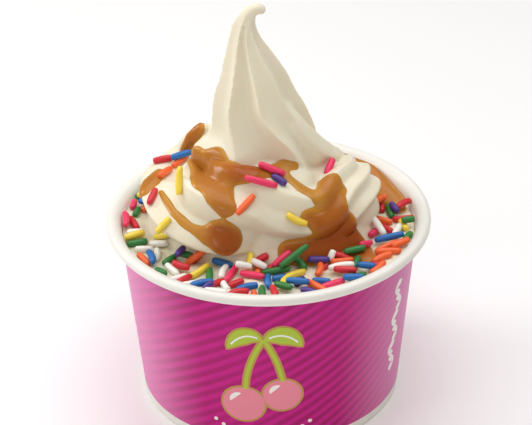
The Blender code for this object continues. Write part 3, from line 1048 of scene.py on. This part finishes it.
# Lays a rod on the surface, inside the cup's wall, and on the rods already there. Returns its middle,
# direction and normal, how far the others lift it, and its two ends and middle.
def settle(tree, lying, place, normal, along, length):
    thick, feel, high = sprinkles["sizes"]["Thickness"], sprinkles["feel"], sprinkles["feelFrom"]
    along = along - normal * (along @ normal)
    along /= np.linalg.norm(along)
    heights = []
    for share in (-feel, 0.0, feel):
        start = place + along * share * length + normal * high
        hit = tree.ray_cast(Vector(start), Vector(-normal), 2.0 * high)[0]
        heights.append(0.0 if hit is None else (np.array(hit) - place) @ normal)
    tilt = (heights[2] - heights[0]) / (2.0 * feel * length)
    along = along + normal * min(max(tilt, -sprinkles["steepest"]), sprinkles["steepest"])
    along /= np.linalg.norm(along)
    top = max(heights[1], (heights[0] + heights[2]) / 2.0)
    middle = place + normal * (top + thick * sprinkles["bedded"])
    half = along * (length - thick) * 0.5
    reach = max(np.hypot(*spot[:2]) for spot in (middle - half, middle, middle + half)) + thick * 0.5
    inner = wallRadius(rimHeight + middle[2]) - cup["paper"] - sprinkles["fromWall"]
    if reach > inner:
        middle[:2] *= 1.0 - (reach - inner) / max(np.hypot(*middle[:2]), 1.0)
    lift = 0.0
    for _ in range(4):
        near = [rod for rod in lying if np.linalg.norm(rod[2] - middle) < sprinkles["neighbours"]]
        gaps = [rodDistance((middle - half, middle + half), rod) for rod in near]
        short = thick * (1.0 - sprinkles["overlap"]) - min(gaps, default=math.inf)
        if short <= 0.0:
            break
        middle = middle + normal * (short + 0.05)  # and a hair more
        lift += short
    return middle, along, normal, lift, (middle - half, middle + half, middle)


# The placed sprinkles: middle, direction, normal, length and bend of each, by colour.
def layPlaced(tree, lying, laid):
    for colour, rows in sprinkles["placed"].items():
        for across, up, slope, length, *bend in rows:
            place, normal = meet(tree, "front", across, up)
            if place is None or np.hypot(place[0], place[1]) > sprinkles["placedReach"]:
                continue
            turn = math.radians(slope)
            seen = math.cos(turn) * np.array([1.0, 0.0, 0.0]) + math.sin(turn) * viewUp
            # laid on the surface along the view, but never on a slope seen too much from the side
            along = seen - viewInto * (seen @ normal) / min(viewInto @ normal, -0.35)
            middle, along, normal, _, rod = settle(tree, lying, place, normal, along, length)
            lying.append(rod)
            laid[colour].append((middle, along, normal, length, bend[0] if bend else 0))


# The loose ones, wherever a random place is low and level enough and free.
def layLoose(tree, lying, laid):
    random = np.random.default_rng(sprinkles["seed"])
    names = list(sprinkles["colours"])
    shares = np.array(sprinkles["looseColours"])
    inner, outer = sprinkles["looseReach"]
    right, above = sprinkles["bareSlope"]
    added = 0
    for _ in range(sprinkles["tries"]):
        angle = random.uniform(-math.pi, math.pi)
        reach = math.sqrt(random.uniform(inner ** 2, outer ** 2))
        x, y = roundCup(reach, angle)
        heading = random.uniform(0.0, math.pi)
        length = random.normal(*sprinkles["looseLength"])
        colour = names[random.choice(len(names), p=shares / shares.sum())]
        bend = int(random.choice([0, 0, 0, 1, -1]))
        chance = random.uniform()
        place, normal = meet(tree, "top", x, y)
        if place is None or place[2] > sprinkles["looseBelow"] or normal[2] < sprinkles["levelEnough"]:
            continue
        if x > right and place @ viewUp > above:
            continue
        inFront = y < sprinkles["inFront"]
        if inFront and chance > sprinkles["looseInFront"]:
            continue
        along = np.array([math.cos(heading), math.sin(heading), 0.0])
        middle, along, normal, lift, rod = settle(tree, lying, place, normal, along, length)
        highest = sprinkles["highest"][0 if inFront else 1]
        if lift > highest or middle[2] > sprinkles["looseTop"]:
            continue
        lying.append(rod)
        laid[colour].append((middle, along, normal, length, bend))
        added += 1
        if added == sprinkles["loose"]:
            break
    print("sprinkles:", len(lying), "laid,", added, "of them loose")


# A tree that puts a rod with round ends on each point. The point says how the rod lies, its stretch and
# which of the bent forms it is.
def sprinkleTree():
    tree = bpy.data.node_groups.new("sprinkles", "GeometryNodeTree")
    inputs = {"Points": "Geometry", **dict.fromkeys(sprinkles["sizes"], "Float"), "Sides": "Int",
              "Material": "Material"}
    for name, kind in inputs.items():
        tree.interface.new_socket(name, in_out="INPUT", socket_type="NodeSocket" + kind)
    tree.interface.new_socket("Sprinkles", in_out="OUTPUT", socket_type="NodeSocketGeometry")
    given = addNode(tree, "NodeGroupInput").outputs
    # nine stations from -90 to 90 degrees: the sine spaces them along the rod, the cosine rounds the ends
    line = addNode(tree, "GeometryNodeMeshLine", mode="OFFSET", Count=9,
                   Start_Location=(-math.pi / 2.0, 0.0, 0.0), Offset=(math.pi / 8.0, 0.0, 0.0))
    position = addNode(tree, "GeometryNodeInputPosition")
    station = addNode(tree, "ShaderNodeSeparateXYZ", Vector=position).outputs["X"]
    sine, cosine = [addNode(tree, "ShaderNodeMath", operation=name, n0=station)
                    for name in ("SINE", "COSINE")]
    dome = addNode(tree, "ShaderNodeMath", operation="MAXIMUM", n0=cosine, n1=0.0)
    girth, arch = [addNode(tree, "ShaderNodeMath", operation="POWER", n0=dome, n1=power)
                   for power in (0.3, 2.0)]
    bow = addNode(tree, "ShaderNodeMath", operation="SUBTRACT", n0=arch, n1=0.5)
    half, radius = [addNode(tree, "ShaderNodeMath", operation="MULTIPLY", n0=given[name], n1=0.5)
                    for name in ("Length", "Thickness")]
    reach = addNode(tree, "ShaderNodeMath", operation="MULTIPLY", n0=sine, n1=half)
    ring = addNode(tree, "GeometryNodeCurvePrimitiveCircle", Resolution=given["Sides"], Radius=radius)
    kept = addNode(tree, "GeometryNodeStoreNamedAttribute", data_type="FLOAT", domain="POINT",
                   Geometry=line, Name="girth", Value=girth)
    stored = {"girth": "FLOAT", "lie": "FLOAT_VECTOR", "stretch": "FLOAT_VECTOR", "form": "INT"}
    for name, kind in stored.items():
        stored[name] = addNode(tree, "GeometryNodeInputNamedAttribute", data_type=kind, Name=name)
    forms = []
    for bend in (0.0, given["Slight bend"], given["Strong bend"]):
        aside = addNode(tree, "ShaderNodeMath", operation="MULTIPLY", n0=bow, n1=bend)
        spot = addNode(tree, "ShaderNodeCombineXYZ", X=reach, Y=aside)
        moved = addNode(tree, "GeometryNodeSetPosition", Geometry=kept, Position=spot)
        curve = addNode(tree, "GeometryNodeMeshToCurve", Mesh=moved)
        rod = addNode(tree, "GeometryNodeCurveToMesh", Curve=curve, Profile_Curve=ring,
                      Scale=stored["girth"])
        closed = addNode(tree, "GeometryNodeMergeByDistance", Geometry=rod, Distance=0.00002)
        forms.append(addNode(tree, "GeometryNodeGeometryToInstance", Geometry=closed))
    kinds = addNode(tree, "GeometryNodeJoinGeometry")
    for form in reversed(forms):
        tree.links.new(form.outputs[0], kinds.inputs[0])
    turn = addNode(tree, "FunctionNodeEulerToRotation", Euler=stored["lie"])
    spread = addNode(tree, "GeometryNodeInstanceOnPoints", Points=given["Points"], Instance=kinds,
                     Pick_Instance=True, Instance_Index=stored["form"], Rotation=turn,
                     Scale=stored["stretch"])
    real = addNode(tree, "GeometryNodeRealizeInstances", Geometry=spread)
    shaded = addNode(tree, "GeometryNodeSetShadeSmooth", Geometry=real)
    painted = addNode(tree, "GeometryNodeSetMaterial", Geometry=shaded, Material=given["Material"])
    addNode(tree, "NodeGroupOutput", n0=painted)
    return tree


# Pressed sugar and starch with a wax glaze: strong even colour, soft sheen, slightly uneven skin.
def glazedSugar(colour, tone):
    times, plus = sprinkles["paler"]
    pale = [min(1.0, c * times + plus) for c in linear(tone)[:3]]
    return newMaterial("glazedSugar" + colour, (linear(tone), (*pale, 1.0), 2.5, 2.0), (0.5, 0.03, 2.0),
                       Roughness=0.38, Subsurface_Weight=0.1, Subsurface_Scale=mm(0.6))


def buildSprinkles(yogurt, poured):
    surfaces = searchTree([yogurt.data, poured.data])
    lying = []
    laid = {colour: [] for colour in sprinkles["colours"]}
    layPlaced(surfaces, lying, laid)
    layLoose(surfaces, lying, laid)
    tree = sprinkleTree()
    sockets = {item.name: item.identifier for item in tree.interface.items_tree if item.in_out == "INPUT"}
    for colour, rods in laid.items():
        places, lies, stretches, forms = [], [], [], []
        for middle, along, normal, length, bend in rods:
            places.append(middle + (0.0, 0.0, rimHeight))
            up = normal if bend >= 0 else -normal
            side = np.cross(up, along)
            side /= np.linalg.norm(side)
            turned = Matrix((along, side, np.cross(along, side))).transposed()
            lies.extend(turned.to_euler())
            stretches.extend((length / sprinkles["sizes"]["Length"], 1.0, 1.0))
            forms.append(abs(bend))
        surface = glazedSugar(colour, sprinkles["colours"][colour])
        piece = addPiece("sprinkles" + colour, places, [], [surface], smooth=False)
        stored = piece.data.attributes
        stored.new("lie", "FLOAT_VECTOR", "POINT").data.foreach_set("vector", lies)
        stored.new("stretch", "FLOAT_VECTOR", "POINT").data.foreach_set("vector", stretches)
        stored.new("form", "INT", "POINT").data.foreach_set("value", forms)
        grow = piece.modifiers.new("rods", "NODES")
        grow.node_group = tree
        for name, size in sprinkles["sizes"].items():
            grow[sockets[name]] = mm(size)
        grow[sockets["Sides"]] = sprinkles["sides"]
        grow[sockets["Material"]] = surface
        applyModifiers(piece)
        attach(piece, "root")
    print("sprinkles: one piece for each colour")


buildStage()
buildCup()
buildMotif()
yogurtSwirl = buildYogurt()
caramelSauce = buildSauce(yogurtSwirl)
buildSprinkles(yogurtSwirl, caramelSauce)
